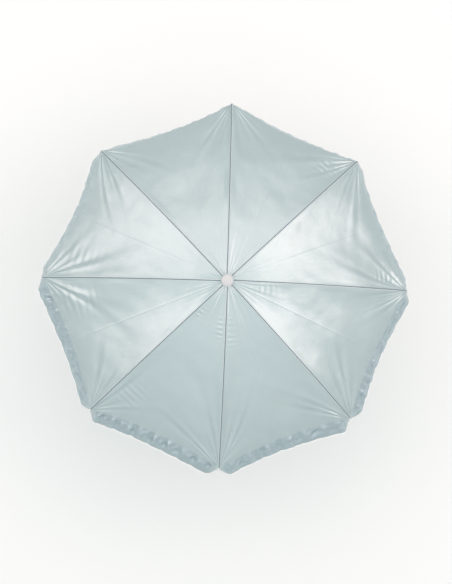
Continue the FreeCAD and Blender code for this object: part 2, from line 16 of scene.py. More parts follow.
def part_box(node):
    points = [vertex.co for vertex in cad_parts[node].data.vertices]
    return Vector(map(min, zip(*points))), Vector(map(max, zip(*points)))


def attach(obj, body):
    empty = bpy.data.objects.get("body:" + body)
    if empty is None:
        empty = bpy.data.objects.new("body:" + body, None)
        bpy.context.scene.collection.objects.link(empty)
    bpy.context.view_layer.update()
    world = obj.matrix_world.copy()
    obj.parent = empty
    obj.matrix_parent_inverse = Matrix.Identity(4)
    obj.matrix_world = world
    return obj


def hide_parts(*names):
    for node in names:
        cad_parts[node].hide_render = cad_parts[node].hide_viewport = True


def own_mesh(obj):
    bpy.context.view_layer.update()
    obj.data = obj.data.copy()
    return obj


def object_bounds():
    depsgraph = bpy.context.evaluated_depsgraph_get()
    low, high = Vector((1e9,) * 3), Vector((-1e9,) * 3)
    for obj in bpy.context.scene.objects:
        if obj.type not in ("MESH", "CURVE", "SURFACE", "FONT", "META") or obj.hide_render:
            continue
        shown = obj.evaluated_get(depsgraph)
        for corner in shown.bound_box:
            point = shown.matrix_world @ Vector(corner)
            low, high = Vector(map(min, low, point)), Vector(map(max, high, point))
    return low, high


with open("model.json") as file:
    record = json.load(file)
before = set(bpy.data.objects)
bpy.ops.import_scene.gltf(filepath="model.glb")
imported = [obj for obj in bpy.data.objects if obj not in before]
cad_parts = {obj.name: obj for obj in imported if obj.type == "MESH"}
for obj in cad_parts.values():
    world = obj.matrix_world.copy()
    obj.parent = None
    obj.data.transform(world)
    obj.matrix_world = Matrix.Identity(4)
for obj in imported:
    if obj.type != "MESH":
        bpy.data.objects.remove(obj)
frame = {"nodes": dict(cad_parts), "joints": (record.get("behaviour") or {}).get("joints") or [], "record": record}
cad_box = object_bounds()

# ---------------------------------------------------------------- sizes

RIBS = 8
HALF_STEP = math.pi / RIBS  # from a rib to the middle of its gore
TAN_HALF, COS_HALF, SIN_HALF = math.tan(HALF_STEP), math.cos(HALF_STEP), math.sin(HALF_STEP)
JOINTS = {j["name"]: j for j in frame["joints"]}
FOLD = math.radians(JOINTS["rib_1_fold"]["range_deg"][1])
PIVOT_R, _, PIVOT_Z = JOINTS["rib_1_fold"]["pos_m"]

TIP_BALL = 0.0024
tip_low, tip_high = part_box("rib_tip_1")
TIP_R = tip_high.x - TIP_BALL
TIP_Z = tip_low.z + TIP_BALL
RIB_TURN = math.radians(30)  # how much a rib bends over its length
FABRIC_GAP = 0.0026  # rib's centre line up to the top of the fabric

HEM_INSET = 0.004  # canopy's corner, short of the rib tip
CORNER_R = TIP_R - HEM_INSET
SCALLOP = 0.013  # how far the edge curves in between two tips
INNER_R = 0.008  # the fabric's hole, under the cap

VALANCE_DROP = 0.045
VALANCE_KEEP = 0.7  # once folded it hangs closer to the shaft than the edge that it is sewn to
NOTCH = 0.020  # share of the edge that the valance leaves free beside a tip
PIPING_R, PIPING_SIDES = 0.0013, 10
# how far the valance leans out: on average, more or less round the rim, beside a tip, and unevenly
FLARE_MEAN, FLARE_SWING = math.radians(34), math.radians(23)
TIP_FLARE, FLARE_WAVE = math.radians(12), math.radians(5)


def rib_arc():
    """(x, z, radius) of the circle that the first rib's centre line follows."""
    run, drop = TIP_R - PIVOT_R, PIVOT_Z - TIP_Z
    chord = math.hypot(run, drop)
    radius = chord / (2 * math.sin(RIB_TURN / 2))
    to_centre = radius * math.cos(RIB_TURN / 2)
    x = PIVOT_R + run / 2 - drop / chord * to_centre
    z = PIVOT_Z - drop / 2 - run / chord * to_centre
    return x, z, radius


ARC_X, ARC_Z, ARC_R = rib_arc()


def arc_height(radius):
    """Height of the fabric over a rib, this far from the shaft."""
    return ARC_Z + np.sqrt((ARC_R + FABRIC_GAP) ** 2 - (radius - ARC_X) ** 2)


def smooth(x, low, high):
    """0 below low, 1 above high, and a soft step between."""
    t = np.clip((x - low) / (high - low), 0, 1)
    return t * t * (3 - 2 * t)


def ripple(points, wavelength, seed, count=18, spread=0.35, heading=0.0, fan=math.pi):
    """Soft noise from -1 to 1: waves of about one length, in directions up to fan from heading."""
    rng = np.random.RandomState(seed)
    total = np.zeros(points.shape[:-1])
    for _ in range(count):
        turn = heading + rng.uniform(-fan, fan)
        pace = 2 * math.pi / (wavelength * rng.uniform(1 - spread, 1 + spread))
        way = np.array([math.cos(turn), math.sin(turn)])
        total += np.sin(points[..., :2] @ way * pace + rng.uniform(0, 2 * math.pi))
    return total / math.sqrt(count)


# ---------------------------------------------------------------- canopy surface

COLUMNS = 60  # from a rib to the middle of its gore
COLUMN_CROWDING = 1.3  # above 1, the columns crowd towards the rib
ROWS = 220  # from the hole to the edge
CREASE_SHARES = (0.984, 0.9925)  # extra columns beside the crease in a gore's middle
CREASE_ROOM = 0.008  # kept free of other columns before them


def column_shares():
    """Where the columns meet the edge, as a share of the way from the tip to the gore's middle."""
    spread = np.linspace(0, 1, COLUMNS + 1) ** COLUMN_CROWDING
    inner = spread[spread < CREASE_SHARES[0] - CREASE_ROOM]
    return np.concatenate([inner, CREASE_SHARES, [1.0]])


SHARES = column_shares()
HALF = len(SHARES) - 1
COLUMN_COUNT = 2 * RIBS * HALF  # columns all the way round

# the edge between two tips is an arc: half its chord, its radius, and its centre's distance out
SPAN = TIP_R * SIN_HALF
BITE = (SPAN**2 + SCALLOP**2) / (2 * SCALLOP)
EDGE = CORNER_R * COS_HALF - SCALLOP + BITE


def ring_layout():
    """For each column: its rib, its side of the rib, its share, its gore's direction, its edge point."""
    columns = []
    for k in range(RIBS):
        columns += [(k, 1, SHARES[i]) for i in range(HALF)]
        columns += [((k + 1) % RIBS, -1, SHARES[i]) for i in range(HALF, 0, -1)]
    rib, side, share = (np.array(values) for values in zip(*columns))
    along = (1 - share) * SPAN
    out = EDGE - np.sqrt(BITE**2 - along**2)
    # the gore's middle is half a step on from the rib, towards the column's side
    middle = rib * 2 * HALF_STEP + side * HALF_STEP
    x = out * np.cos(middle) + side * along * np.sin(middle)
    y = out * np.sin(middle) - side * along * np.cos(middle)
    return {"rib": rib, "side": side, "share": share, "middle": middle, "x": x, "y": y}


LAYOUT = ring_layout()
EDGE_R = np.hypot(LAYOUT["x"], LAYOUT["y"])
TURN = np.arctan2(LAYOUT["y"], LAYOUT["x"])
GORE = np.where(LAYOUT["side"] > 0, LAYOUT["rib"], (LAYOUT["rib"] - 1) % RIBS)


def rib_frame(x, y, rib):
    """Coordinates out along a rib and across it."""
    a = rib * 2 * HALF_STEP
    return x * np.cos(a) + y * np.sin(a), -x * np.sin(a) + y * np.cos(a)


def base_points(radius):
    """The unwrinkled canopy at these radii: each gore is stretched straight from rib to rib."""
    x, y = radius * np.cos(TURN), radius * np.sin(TURN)
    out, across = rib_frame(x, y, LAYOUT["rib"])
    return np.stack([x, y, arc_height(out + TAN_HALF * np.abs(across))], -1)


def grid_normals(points, closed):
    """Unit normals of a grid, pointing up or out. The columns go round if closed."""
    if closed:
        wide = np.concatenate([points[:, -1:], points, points[:, :1]], 1)
        across = wide[:, 2:] - wide[:, :-2]
    else:
        across = np.gradient(points, axis=1)
    down = np.gradient(points, axis=0)
    normal = np.cross(down, across)
    return normal / np.maximum(np.linalg.norm(normal, axis=-1, keepdims=True), 1e-12)


def drawn_folds(points, seed, count, centre_out, reach, height, width, widest, inward):
    """Ridges that fan out from one point of each rib, each with a hollow at its side."""
    rng = np.random.RandomState(seed)
    total = np.zeros(points.shape[:-1])
    for k in range(RIBS):
        out, across = rib_frame(points[..., 0], points[..., 1], k)
        back = centre_out - out if inward else out - centre_out
        far = np.hypot(back, across)
        way = np.arctan2(across, back)
        for side in (-1, 1):
            mine = np.where(np.sign(across) == side, smooth(np.abs(across), 0, 0.004), 0)
            for n in range(count):
                heading = side * widest * (n + rng.uniform(0.15, 0.85)) / count
                spread = width * rng.uniform(0.75, 1.4)
                length = reach * rng.uniform(0.6, 1.5)
                bend = rng.uniform(-0.8, 0.8) * far
                place = (way - heading - bend) / spread
                shape = np.exp(-place**2) - 0.75 * np.exp(-((place - side * 1.35) ** 2))
                rise = far / length * np.exp(1 - far / length)
                total += height * rng.uniform(0.6, 1.35) * mine * shape * rise
    return total


# fans of folds: seed, folds on each side of the rib, distance out of their common point, reach,
# height, width, widest heading, and whether they run inward
FOLD_FANS = (
    (11, 5, CORNER_R, 0.018, 0.0015, math.radians(3.2), math.radians(58), True),
    (12, 2, CORNER_R, 0.042, 0.0023, math.radians(3.4), math.radians(46), True),
    (13, 2, 0.0, 0.034, 0.00045, math.radians(2.2), HALF_STEP, False),
)

# cross ripples where the cloth is slack: gore, distance out, place across from -1 to 1, size out and
# across, height, wavelength
SLACK_PATCHES = (
    (6, 0.125, -0.85, 0.030, 0.016, 0.0007, 0.0130),
    (5, 0.125, 0.85, 0.030, 0.016, 0.0007, 0.0130),
    (5, 0.105, -0.75, 0.030, 0.014, 0.0006, 0.0125),
    (5, 0.375, -0.70, 0.040, 0.030, 0.0005, 0.0160),
    (4, 0.395, -0.60, 0.050, 0.035, 0.0007, 0.0170),
    (1, 0.400, -0.75, 0.032, 0.030, 0.0004, 0.0135),
    (0, 0.420, -0.80, 0.030, 0.022, 0.0003, 0.0130),
    (3, 0.390, 0.60, 0.050, 0.040, 0.0004, 0.0190),
    (2, 0.090, 0.70, 0.030, 0.012, 0.0006, 0.0125),
    (7, 0.110, 0.60, 0.030, 0.020, 0.0004, 0.0150),
)


def slack_ripples(out, v, points):
    """Waves that cross a gore, in the patches listed above."""
    total = np.zeros(out.shape)
    for n, (gore, far, place, long, wide, height, wave) in enumerate(SLACK_PATCHES):
        cover = ((out - far) / long) ** 2 + ((v - place) * far * TAN_HALF / wide) ** 2
        cover = np.exp(-cover) * (GORE == gore)
        heading = (gore + 0.5 + 0.45 * place) * 2 * HALF_STEP
        total += height * cover * ripple(points, wave, 40 + n, 7, 0.12, heading, 0.22)
    return total


def hem_wave(s):
    """Irregular gathers along the edge, where s is the distance in metres round the rim."""
    lean = 0.6 * np.sin(s / 0.031) + 0.9 * np.sin(s / 0.077 + 1.3)
    sharp = np.sin(2 * math.pi * s / 0.0215 + 1.6 * lean)
    broad = np.sin(2 * math.pi * s / 0.0470 + 2.1 * np.sin(s / 0.11))
    patchy = 0.55 + 0.45 * np.sin(s / 0.062 + 0.8 * np.sin(s / 0.21))
    return 0.75 * sharp * patchy + 0.85 * broad


RIM_STEP = np.hypot(np.roll(LAYOUT["x"], -1) - LAYOUT["x"], np.roll(LAYOUT["y"], -1) - LAYOUT["y"])
RIM_AT = np.concatenate([[0], np.cumsum(RIM_STEP)[:-1]])
HEM_WAVE = hem_wave(RIM_AT)

SAG = 0.0075  # of a gore's middle below its ribs
GORE_SAG = np.array([1.05, 0.9, 1.1, 1.0, 1.15, 0.95, 1.1, 1.0]) * SAG
# unevenness all over the cloth: height, wavelength, seed, number of waves
RIPPLES = (
    (0.0011, 0.170, 3, 18),
    (0.00030, 0.070, 4, 18),
    (0.00003, 0.016, 5, 30),
    (0.00007, 0.031, 6, 24),
)
GATHER_HEIGHT, GATHER_REACH = 0.0006, 0.014  # along the edge
PLEAT_HEIGHT, PLEAT_REACH = 0.0005, 0.016  # round the cap
CREASE_HEIGHT, CREASE_WIDTH = 0.00042, 0.0011  # down the middle of each gore


def lift(points, radius):
    """How far the cloth stands off the unwrinkled canopy."""
    out, across = rib_frame(points[..., 0], points[..., 1], LAYOUT["rib"])
    from_rib = np.abs(across)
    middle = (GORE + 0.5) * 2 * HALF_STEP
    far = points[..., 0] * np.cos(middle) + points[..., 1] * np.sin(middle)
    sideways = -points[..., 0] * np.sin(middle) + points[..., 1] * np.cos(middle)
    v = np.clip(sideways / np.maximum(far * TAN_HALF, 1e-6), -1, 1)
    to_edge = EDGE_R - radius

    depth = GORE_SAG[GORE] * smooth(far, 0.0, 0.30) * (1 - 0.45 * smooth(far, 0.33, 0.46))
    sag = -depth * (1 - v**2)
    uneven = sum(height * ripple(points, wave, seed, count) for height, wave, seed, count in RIPPLES)
    uneven = smooth(from_rib, 0.001, 0.018) * (uneven + slack_ripples(far, v, points))
    gathers = GATHER_HEIGHT * np.exp(-to_edge / GATHER_REACH) * HEM_WAVE
    gathers = gathers * smooth(LAYOUT["share"], 0.02, 0.15)
    pleats = PLEAT_HEIGHT * smooth(radius, 0.013, 0.020) * np.exp(-(radius - 0.015) / PLEAT_REACH)
    pleats = pleats * np.cos(TURN * 4 * RIBS)
    crease = CREASE_HEIGHT * np.exp(-np.abs(sideways) / CREASE_WIDTH) * smooth(radius, 0.02, 0.05)
    folds = sum(drawn_folds(points, *fan) for fan in FOLD_FANS)
    return sag + uneven + gathers + pleats + crease + folds


def canopy_points():
    """The finished canopy: rows from the hole to the edge, columns all the way round."""
    share = np.linspace(0, 1, ROWS + 1)[:, None]
    radius = INNER_R + share * (EDGE_R[None, :] - INNER_R)
    base = base_points(radius)
    return base + grid_normals(base, True) * lift(base, radius)[..., None]


VALANCE_ROWS = 20
STEEP, OPEN = math.radians(8), math.radians(52)  # where the valance hangs smooth, and where it crumples
SWELL_TOP, SWELL_MIDDLE, SWELL_HEM = 0.0003, 0.0030, 0.0006  # heights of the valance's gathers
CRUMPLE_HEIGHT, CRUMPLE_WAVE = 0.0022, 0.027
BELLY = 0.005  # its outward bow between the sewn edge and the free one


def valance_points(edge):
    """The strip below the canopy's edge, from the sewn edge down to the free one."""
    t = np.linspace(0, 1, VALANCE_ROWS + 1)[:, None, None]
    share, middle = LAYOUT["share"], LAYOUT["middle"]
    wide = FLARE_MEAN - FLARE_SWING * np.sin(middle)
    flare = TIP_FLARE + (wide - TIP_FLARE) * smooth(share, 0.0, 0.20)
    flare = flare + FLARE_WAVE * np.sin(RIM_AT / 0.083 + 0.7) * smooth(share, 0.05, 0.3)
    rib_turn = LAYOUT["rib"] * 2 * HALF_STEP
    weight = share**0.5
    way = np.stack([
        np.cos(middle) * weight + np.cos(rib_turn) * (1 - weight),
        np.sin(middle) * weight + np.sin(rib_turn) * (1 - weight),
        np.zeros_like(weight)], -1)
    way /= np.linalg.norm(way, axis=-1, keepdims=True)
    up = np.array([0, 0, 1.0])
    down = way * np.sin(flare)[:, None] - up * np.cos(flare)[:, None]
    face = way * np.cos(flare)[:, None] + up * np.sin(flare)[:, None]
    pinned = smooth(share, 0.02, 0.16)
    wave = HEM_WAVE * pinned
    # where the strip hangs steeply its own weight pulls it smooth
    loose = smooth(wide, STEEP, OPEN)[:, None] * 0.75 + 0.25
    drop = VALANCE_DROP * (1 - 0.015 * np.abs(wave))
    depth = (t[..., 0] * drop)[..., None]
    bulge = np.sin(math.pi * t**0.8) ** 2
    around = np.broadcast_to(RIM_AT, (VALANCE_ROWS + 1, COLUMN_COUNT))
    cloth = np.stack([around, t[..., 0] * VALANCE_DROP + 0.35 * around], -1)
    swell = (SWELL_TOP + SWELL_MIDDLE * bulge + SWELL_HEM * t) * wave[:, None]
    crumples = CRUMPLE_HEIGHT * ripple(cloth, CRUMPLE_WAVE, 21, 24)[..., None] * bulge * pinned[:, None]
    stand = (swell + crumples) * loose + BELLY * t * (1 - t) * pinned[:, None]
    return edge[None] + down * depth + face * stand


# ---------------------------------------------------------------- meshes


def in_scene(name, data):
    """A new object in the scene, from a mesh, camera or light."""
    made = bpy.data.objects.new(name, data)
    bpy.context.scene.collection.objects.link(made)
    return made


def grid_mesh(name, points, normals, uv):
    """A mesh from a grid of points, shaded with the normals of the whole surface if they are given."""
    rows, cols = points.shape[:2]
    index = np.arange(rows * cols).reshape(rows, cols)
    corners = [index[:-1, :-1], index[1:, :-1], index[1:, 1:], index[:-1, 1:]]
    quads = np.stack(corners, -1).reshape(-1, 4)
    mesh = bpy.data.meshes.new(name)
    mesh.from_pydata(points.reshape(-1, 3).tolist(), [], quads.tolist())
    mesh.polygons.foreach_set("use_smooth", np.ones(len(quads), bool))
    layer = mesh.uv_layers.new(name="cloth")
    layer.data.foreach_set("uv", uv.reshape(-1, 2)[quads.ravel()].astype(np.float32).ravel())
    if normals is not None:
        mesh.normals_split_custom_set_from_vertices(normals.reshape(-1, 3).tolist())
    return in_scene(name, mesh)


def smooth_mesh(name, verts, faces):
    """A smoothly shaded mesh from its points and faces."""
    mesh = bpy.data.meshes.new(name)
    mesh.from_pydata([tuple(v) for v in verts], [], faces)
    mesh.polygons.foreach_set("use_smooth", np.ones(len(faces), bool))
    return in_scene(name, mesh)


def sector_columns(rib):
    """The columns from the middle of one gore to the middle of the next, about a rib."""
    start = rib * 2 * HALF - HALF
    return np.arange(start, start + 2 * HALF + 1) % COLUMN_COUNT


LEAST_KEEP = 0.03


def closed_keep(point):
    """How much of its width the cloth keeps when the ribs are down.

    The point is on the middle line beside the first rib. When the rib has turned down, this line
    still has to lie half a step round from the rib, where the next rib's cloth begins.
    """
    out, across, z = point
    turned = PIVOT_R + (out - PIVOT_R) * math.cos(FOLD) + (z - PIVOT_Z) * math.sin(FOLD)
    return min(1.0, max(LEAST_KEEP, turned * TAN_HALF / abs(across)))


def crumple(piece):
    """Gives the piece a mesh of its own."""
    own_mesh(piece)


# ---------------------------------------------------------------- materials


def new_material(name, color, metallic, roughness):
    """A material with its node tree and its shader node."""
    material = bpy.data.materials.new(name)
    material.use_nodes = True
    shader = material.node_tree.nodes["Principled BSDF"]
    shader.inputs["Base Color"].default_value = (*color, 1)
    shader.inputs["Metallic"].default_value = metallic
    shader.inputs["Roughness"].default_value = roughness
    return material, material.node_tree, shader


def add(tree, kind, **values):
    """A node, with its settings and inputs given by name."""
    node = tree.nodes.new(kind)
    for key, value in values.items():
        if key in node.inputs:
            node.inputs[key].default_value = value
        else:
            setattr(node, key, value)
    return node


def link(tree, source, output, target, entry):
    """Joins an output of one node to an input of another."""
    tree.links.new(source.outputs[output], target.inputs[entry])


def set_input(node, name, value):
    """For an input whose name has a space in it."""
    node.inputs[name].default_value = value


def noise(tree, place, **values):
    """A noise texture over the object's own coordinates."""
    node = add(tree, "ShaderNodeTexNoise", **values)
    link(tree, place, "Object", node, "Vector")
    return node


# sockets of a Mix node that mixes colours, by number because they share their names with others
MIX_FACTOR, MIX_LOW, MIX_HIGH, MIX_RESULT = 0, 6, 7, 2


def vary_color(tree, shader, texture, dark, light):
    """Base colour between two tones, following a noise texture."""
    mix = add(tree, "ShaderNodeMix", data_type="RGBA")
    link(tree, texture, "Fac", mix, MIX_FACTOR)
    mix.inputs[MIX_LOW].default_value = (*dark, 1)
    mix.inputs[MIX_HIGH].default_value = (*light, 1)
    link(tree, mix, MIX_RESULT, shader, "Base Color")


def vary_gloss(tree, shader, texture, low, high):
    """Roughness between two values, following a noise texture."""
    gloss = add(tree, "ShaderNodeMapRange")
    set_input(gloss, "To Min", low)
    set_input(gloss, "To Max", high)
    link(tree, texture, "Fac", gloss, "Value")
    link(tree, gloss, "Result", shader, "Roughness")


def add_grain(tree, shader, source, output, strength, distance):
    """Fine relief from a node's output."""
    bump = add(tree, "ShaderNodeBump", Strength=strength, Distance=distance)
    link(tree, source, output, bump, "Height")
    link(tree, bump, "Normal", shader, "Normal")


def silver_cloth(name, dark, light):
    """Metallised satin: a fine twill, soft mottling and a broad silvery sheen."""
    material, tree, shader = new_material(name, light, 0.60, 0.34)
    place = add(tree, "ShaderNodeTexCoord")
    mottle = noise(tree, place, Scale=9.0, Detail=5.0, Roughness=0.55)
    vary_color(tree, shader, mottle, dark, light)
    vary_gloss(tree, shader, noise(tree, place, Scale=60.0, Detail=4.0), 0.27, 0.38)

    twill = add(tree, "ShaderNodeMapping", vector_type="TEXTURE")
    set_input(twill, "Rotation", (0, 0, math.radians(30)))
    link(tree, place, "UV", twill, "Vector")
    weave = add(tree, "ShaderNodeTexWave", wave_type="BANDS", Scale=420.0, Distortion=0.6, Detail=1.0)
    link(tree, twill, "Vector", weave, "Vector")
    warp = add(tree, "ShaderNodeTexWave", wave_type="BANDS", bands_direction="Y", Scale=620.0,
               Distortion=0.3)
    link(tree, place, "UV", warp, "Vector")
    both = add(tree, "ShaderNodeMath", operation="ADD")
    link(tree, weave, "Fac", both, 0)
    link(tree, warp, "Fac", both, 1)
    add_grain(tree, shader, both, "Value", 0.10, 0.0001)
    return material


def piping_cloth():
    """White bias tape rolled over a cord."""
    material, tree, shader = new_material("white_piping", (0.9, 0.9, 0.89), 0.0, 0.62)
    place = add(tree, "ShaderNodeTexCoord")
    tape = noise(tree, place, Scale=900.0, Detail=2.0)
    vary_color(tree, shader, tape, (0.90, 0.91, 0.90), (0.98, 0.98, 0.97))
    add_grain(tree, shader, tape, "Fac", 0.25, 0.0002)
    return material


def thread_cloth():
    """Sewing thread, slightly glossy."""
    material, tree, shader = new_material("seam_thread", (0.86, 0.9, 0.9), 0.1, 0.5)
    place = add(tree, "ShaderNodeTexCoord")
    fibre = noise(tree, place, Scale=1500.0, Detail=2.0)
    vary_color(tree, shader, fibre, (0.78, 0.83, 0.84), (0.93, 0.95, 0.95))
    return material


def plastic(name, dark, light, roughness, coat=0.0):
    """Moulded plastic, slightly cloudy, with a fine grain."""
    material, tree, shader = new_material(name, light, 0.0, roughness)
    set_input(shader, "Coat Weight", coat)
    place = add(tree, "ShaderNodeTexCoord")
    vary_color(tree, shader, noise(tree, place, Scale=70.0, Detail=3.0), dark, light)
    add_grain(tree, shader, noise(tree, place, Scale=2600.0, Detail=2.0), "Fac", 0.12, 0.0001)
    return material


def metal(name, dark, light, low_gloss, high_gloss, drawn):
    """Metal with drawing marks, a noise stretched along Z, and wear in its gloss."""
    material, tree, shader = new_material(name, light, 1.0, low_gloss)
    place = add(tree, "ShaderNodeTexCoord")
    streak = add(tree, "ShaderNodeMapping")
    set_input(streak, "Scale", (drawn, drawn, drawn * 0.04))
    link(tree, place, "Object", streak, "Vector")
    marks = add(tree, "ShaderNodeTexNoise", Scale=1.0, Detail=4.0)
    link(tree, streak, "Vector", marks, "Vector")
    vary_color(tree, shader, marks, dark, light)
    vary_gloss(tree, shader, marks, low_gloss, high_gloss)
    return material


def lacquer(name, dark, light):
    """Black lacquer on steel wire, a little worn."""
    material, tree, shader = new_material(name, light, 0.0, 0.3)
    set_input(shader, "Coat Weight", 0.4)
    place = add(tree, "ShaderNodeTexCoord")
    wear = noise(tree, place, Scale=140.0, Detail=6.0, Roughness=0.7)
    vary_color(tree, shader, wear, dark, light)
    vary_gloss(tree, shader, wear, 0.22, 0.45)
    return material


CLOTH = silver_cloth("silver_cloth", (0.475, 0.575, 0.590), (0.520, 0.615, 0.630))
# the valance's cloth is the same silver cloth painted about an eighth darker, as painted shade on the steep strip
# below the edge
VALANCE_SHADE_CLOTH = silver_cloth("silver_cloth_painted_shade", (0.400, 0.500, 0.530), (0.445, 0.545, 0.575))
# a dark strip along each seam: painted shade for the groove beside the raised seam
SEAM_SHADE = plastic("seam_painted_shade", (0.13, 0.18, 0.22), (0.20, 0.26, 0.30), 0.6)
PIPING = piping_cloth()
THREAD = thread_cloth()
TIP_WHITE = plastic("tip_white", (0.84, 0.85, 0.85), (0.93, 0.93, 0.92), 0.4)
SLOT_MATERIALS = {
    "silver_fabric": CLOTH,
    "white_plastic": plastic("white_plastic", (0.58, 0.60, 0.615), (0.65, 0.665, 0.675), 0.42, 0.05),
    "grey_plastic": plastic("grey_plastic", (0.30, 0.31, 0.32), (0.37, 0.38, 0.39), 0.42),
    "black_plastic": plastic("black_plastic", (0.02, 0.02, 0.022), (0.035, 0.035, 0.038), 0.45),
    "chromed_tube": metal("chromed_tube", (0.62, 0.63, 0.65), (0.82, 0.83, 0.85), 0.10, 0.22, 300),
    "steel": metal("steel_wire", (0.42, 0.43, 0.44), (0.62, 0.63, 0.65), 0.22, 0.40, 700),
    "black_steel": lacquer("black_lacquer", (0.012, 0.012, 0.014), (0.05, 0.05, 0.055)),
}


def dress_cad_nodes():
    """Gives each CAD node the material of its slot, and the rib tips a whiter one."""
    for row in frame["record"]["subparts"]:
        node = frame["nodes"][row["node"]]
        node.data.materials.clear()
        is_tip = row["node"].startswith("rib_tip_")
        node.data.materials.append(TIP_WHITE if is_tip else SLOT_MATERIALS[row["material_slot"]])


# ---------------------------------------------------------------- canopy pieces

# radii, from the hole outward, at which the canopy is cut; the first piece is the collar that the cap
# clamps, and the last ring ends at the edge
CUTS = (
    0.0148, 0.022, 0.036, 0.054, 0.076, 0.104, 0.137, 0.172,
    0.207, 0.242, 0.277, 0.312, 0.347, 0.382, 0.417, 0.452,
)


def cut_rows():
    """First and last row of each ring, told by the canopy's longest columns, at the ribs."""
    longest = float(EDGE_R.max())
    at = [round((radius - INNER_R) / (longest - INNER_R) * ROWS) for radius in CUTS]
    marks = [0, *at, ROWS]
    return list(zip(marks[:-1], marks[1:]))


def cloth_uv(points, rib):
    """Cloth coordinates in metres: across a gore and out along it."""
    out, across = rib_frame(points[..., 0], points[..., 1], rib)
    return np.stack([across, out], -1)


def middle_point(points, row, rib):
    """A point of the middle line beside a rib, in that rib's own frame."""
    column = sector_columns(rib)[-1]
    x, y, z = points[row, column]
    out, across = rib_frame(x, y, rib)
    return float(out), float(across), float(z)


def finish_cloth(piece, rib, keep, material):
    """Gives a cloth piece its material and its rib, and a mesh of its own if it narrows when the ribs close."""
    piece.data.materials.append(material)
    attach(piece, f"rib_{rib + 1}")
    if keep < 1:
        crumple(piece)


def make_collar(points, normals, rows):
    """The fabric under the cap, which stays on the shaft when the ribs fold."""
    columns = np.arange(COLUMN_COUNT + 1) % COLUMN_COUNT
    part, part_normals = points[rows][:, columns], normals[rows][:, columns]
    piece = grid_mesh("canopy_collar", part, part_normals, part[..., :2])
    piece.data.materials.append(CLOTH)
    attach(piece, "shaft")


def make_canopy(points, normals):
    """The collar, and the rings of canopy that each rib carries."""
    collar, *rings = cut_rows()
    make_collar(points, normals, slice(collar[0], collar[1] + 1))
    for rib in range(RIBS):
        columns = sector_columns(rib)
        for ring, (first, last) in enumerate(rings):
            rows = slice(first, last + 1)
            part, part_normals = points[rows][:, columns], normals[rows][:, columns]
            name = f"canopy_{rib + 1}_ring_{ring + 1:02d}"
            piece = grid_mesh(name, part, part_normals, cloth_uv(part, rib))
            keep = closed_keep(middle_point(points, first, rib))
            finish_cloth(piece, rib, keep, CLOTH)
            if ring == 0:
                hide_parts(f"canopy_sector_{rib + 1}")


def tube(name, line, radius, sides):
    """A closed tube along a line of points."""
    ahead = np.gradient(line, axis=0)
    ahead /= np.linalg.norm(ahead, axis=1, keepdims=True)
    side = np.cross(ahead, [0, 0, 1.0])
    side /= np.linalg.norm(side, axis=1, keepdims=True)
    top = np.cross(side, ahead)
    turns = np.linspace(0, 2 * math.pi, sides, endpoint=False)
    rings = [line + radius * (math.cos(t) * side + math.sin(t) * top) for t in turns]
    verts = np.stack(rings, 1).reshape(-1, 3)
    count = len(line)
    faces = []
    for i in range(count - 1):
        here, ahead = i * sides, (i + 1) * sides
        for s in range(sides):
            after = (s + 1) % sides
            faces.append((here + s, ahead + s, ahead + after, here + after))
    faces.append(tuple(range(sides)))
    faces.append(tuple(reversed(range((count - 1) * sides, count * sides))))
    return smooth_mesh(name, verts, faces)


def make_valances(canopy):
    """A strip with piping on each side of each rib, with a notch for the tip between them."""
    points = valance_points(canopy[-1])
    normals = grid_normals(points, True)
    for rib in range(RIBS):
        columns = sector_columns(rib)
        keep = VALANCE_KEEP * closed_keep(middle_point(canopy, ROWS, rib))
        sides = {"right": columns[: HALF + 1], "left": columns[HALF:]}
        for side, half in sides.items():
            half = half[LAYOUT["share"][half] >= NOTCH]
            part = points[:, half]
            piping = tube(f"piping_{rib + 1}_{side}", part[-1], PIPING_R, PIPING_SIDES)
            finish_cloth(piping, rib, keep, PIPING)
            strip = grid_mesh(f"valance_{rib + 1}_{side}", part, normals[:, half], cloth_uv(part, rib))
            # the valance gets the darker copy of the cloth, which is painted shade
            finish_cloth(strip, rib, keep, VALANCE_SHADE_CLOTH)
            if side == "left":
                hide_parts(f"valance_{rib + 1}")


SEAM_HALF, SEAM_RISE = 0.0023, 0.00042
SEAM_START, SEAM_END, SEAM_STATIONS = 0.017, CORNER_R - 0.0015, 150
# (across, rise) of the felled seam over a rib
SEAM_PROFILE = (
    (-SEAM_HALF, -0.0001), (-SEAM_HALF * 0.82, SEAM_RISE), (0, SEAM_RISE * 1.35),
    (SEAM_HALF * 0.82, SEAM_RISE), (SEAM_HALF, -0.0001),
)
# a dark strip lies on the seam, a little to one side, as painted shade for the seam's groove: its middle,
# half its width, and its shape as (share of the half width, rise)
SHADE_AT, SHADE_HALF = 0.0008, 0.00125
SHADE_SHAPE = ((-1, 0.0003), (-0.8, 0.00078), (0.8, 0.00078), (1, 0.0003))
SHADE_PROFILE = [(SHADE_AT + SHADE_HALF * share, rise) for share, rise in SHADE_SHAPE]
# the row of stitches lies beside it
STITCH_START, STITCH_END, STITCH_AT = 0.019, CORNER_R - 0.002, -SEAM_HALF * 0.5
STITCH_PITCH, STITCH_LENGTH, STITCH_HALF, STITCH_RISE = 0.0036, 0.0030, 0.00048, 0.00030
STITCH_BASE = SEAM_RISE * 1.1
STITCH_SIZES = ((0, 0.6), (0.25, 1.0), (0.75, 1.0), (1, 0.6))  # share of the length, share of full size
STITCH_SECTION = ((-1, 0), (0, 1), (1, 0))  # share of the half width, share of the rise


def on_rib(out, across, rise):
    """A point on the fabric's top beside the first rib, raised by rise."""
    z = float(arc_height(out + TAN_HALF * abs(across)))
    lean = math.asin((out - ARC_X) / ARC_R)
    return Vector((out + rise * math.sin(lean), across, z + rise * math.cos(lean)))


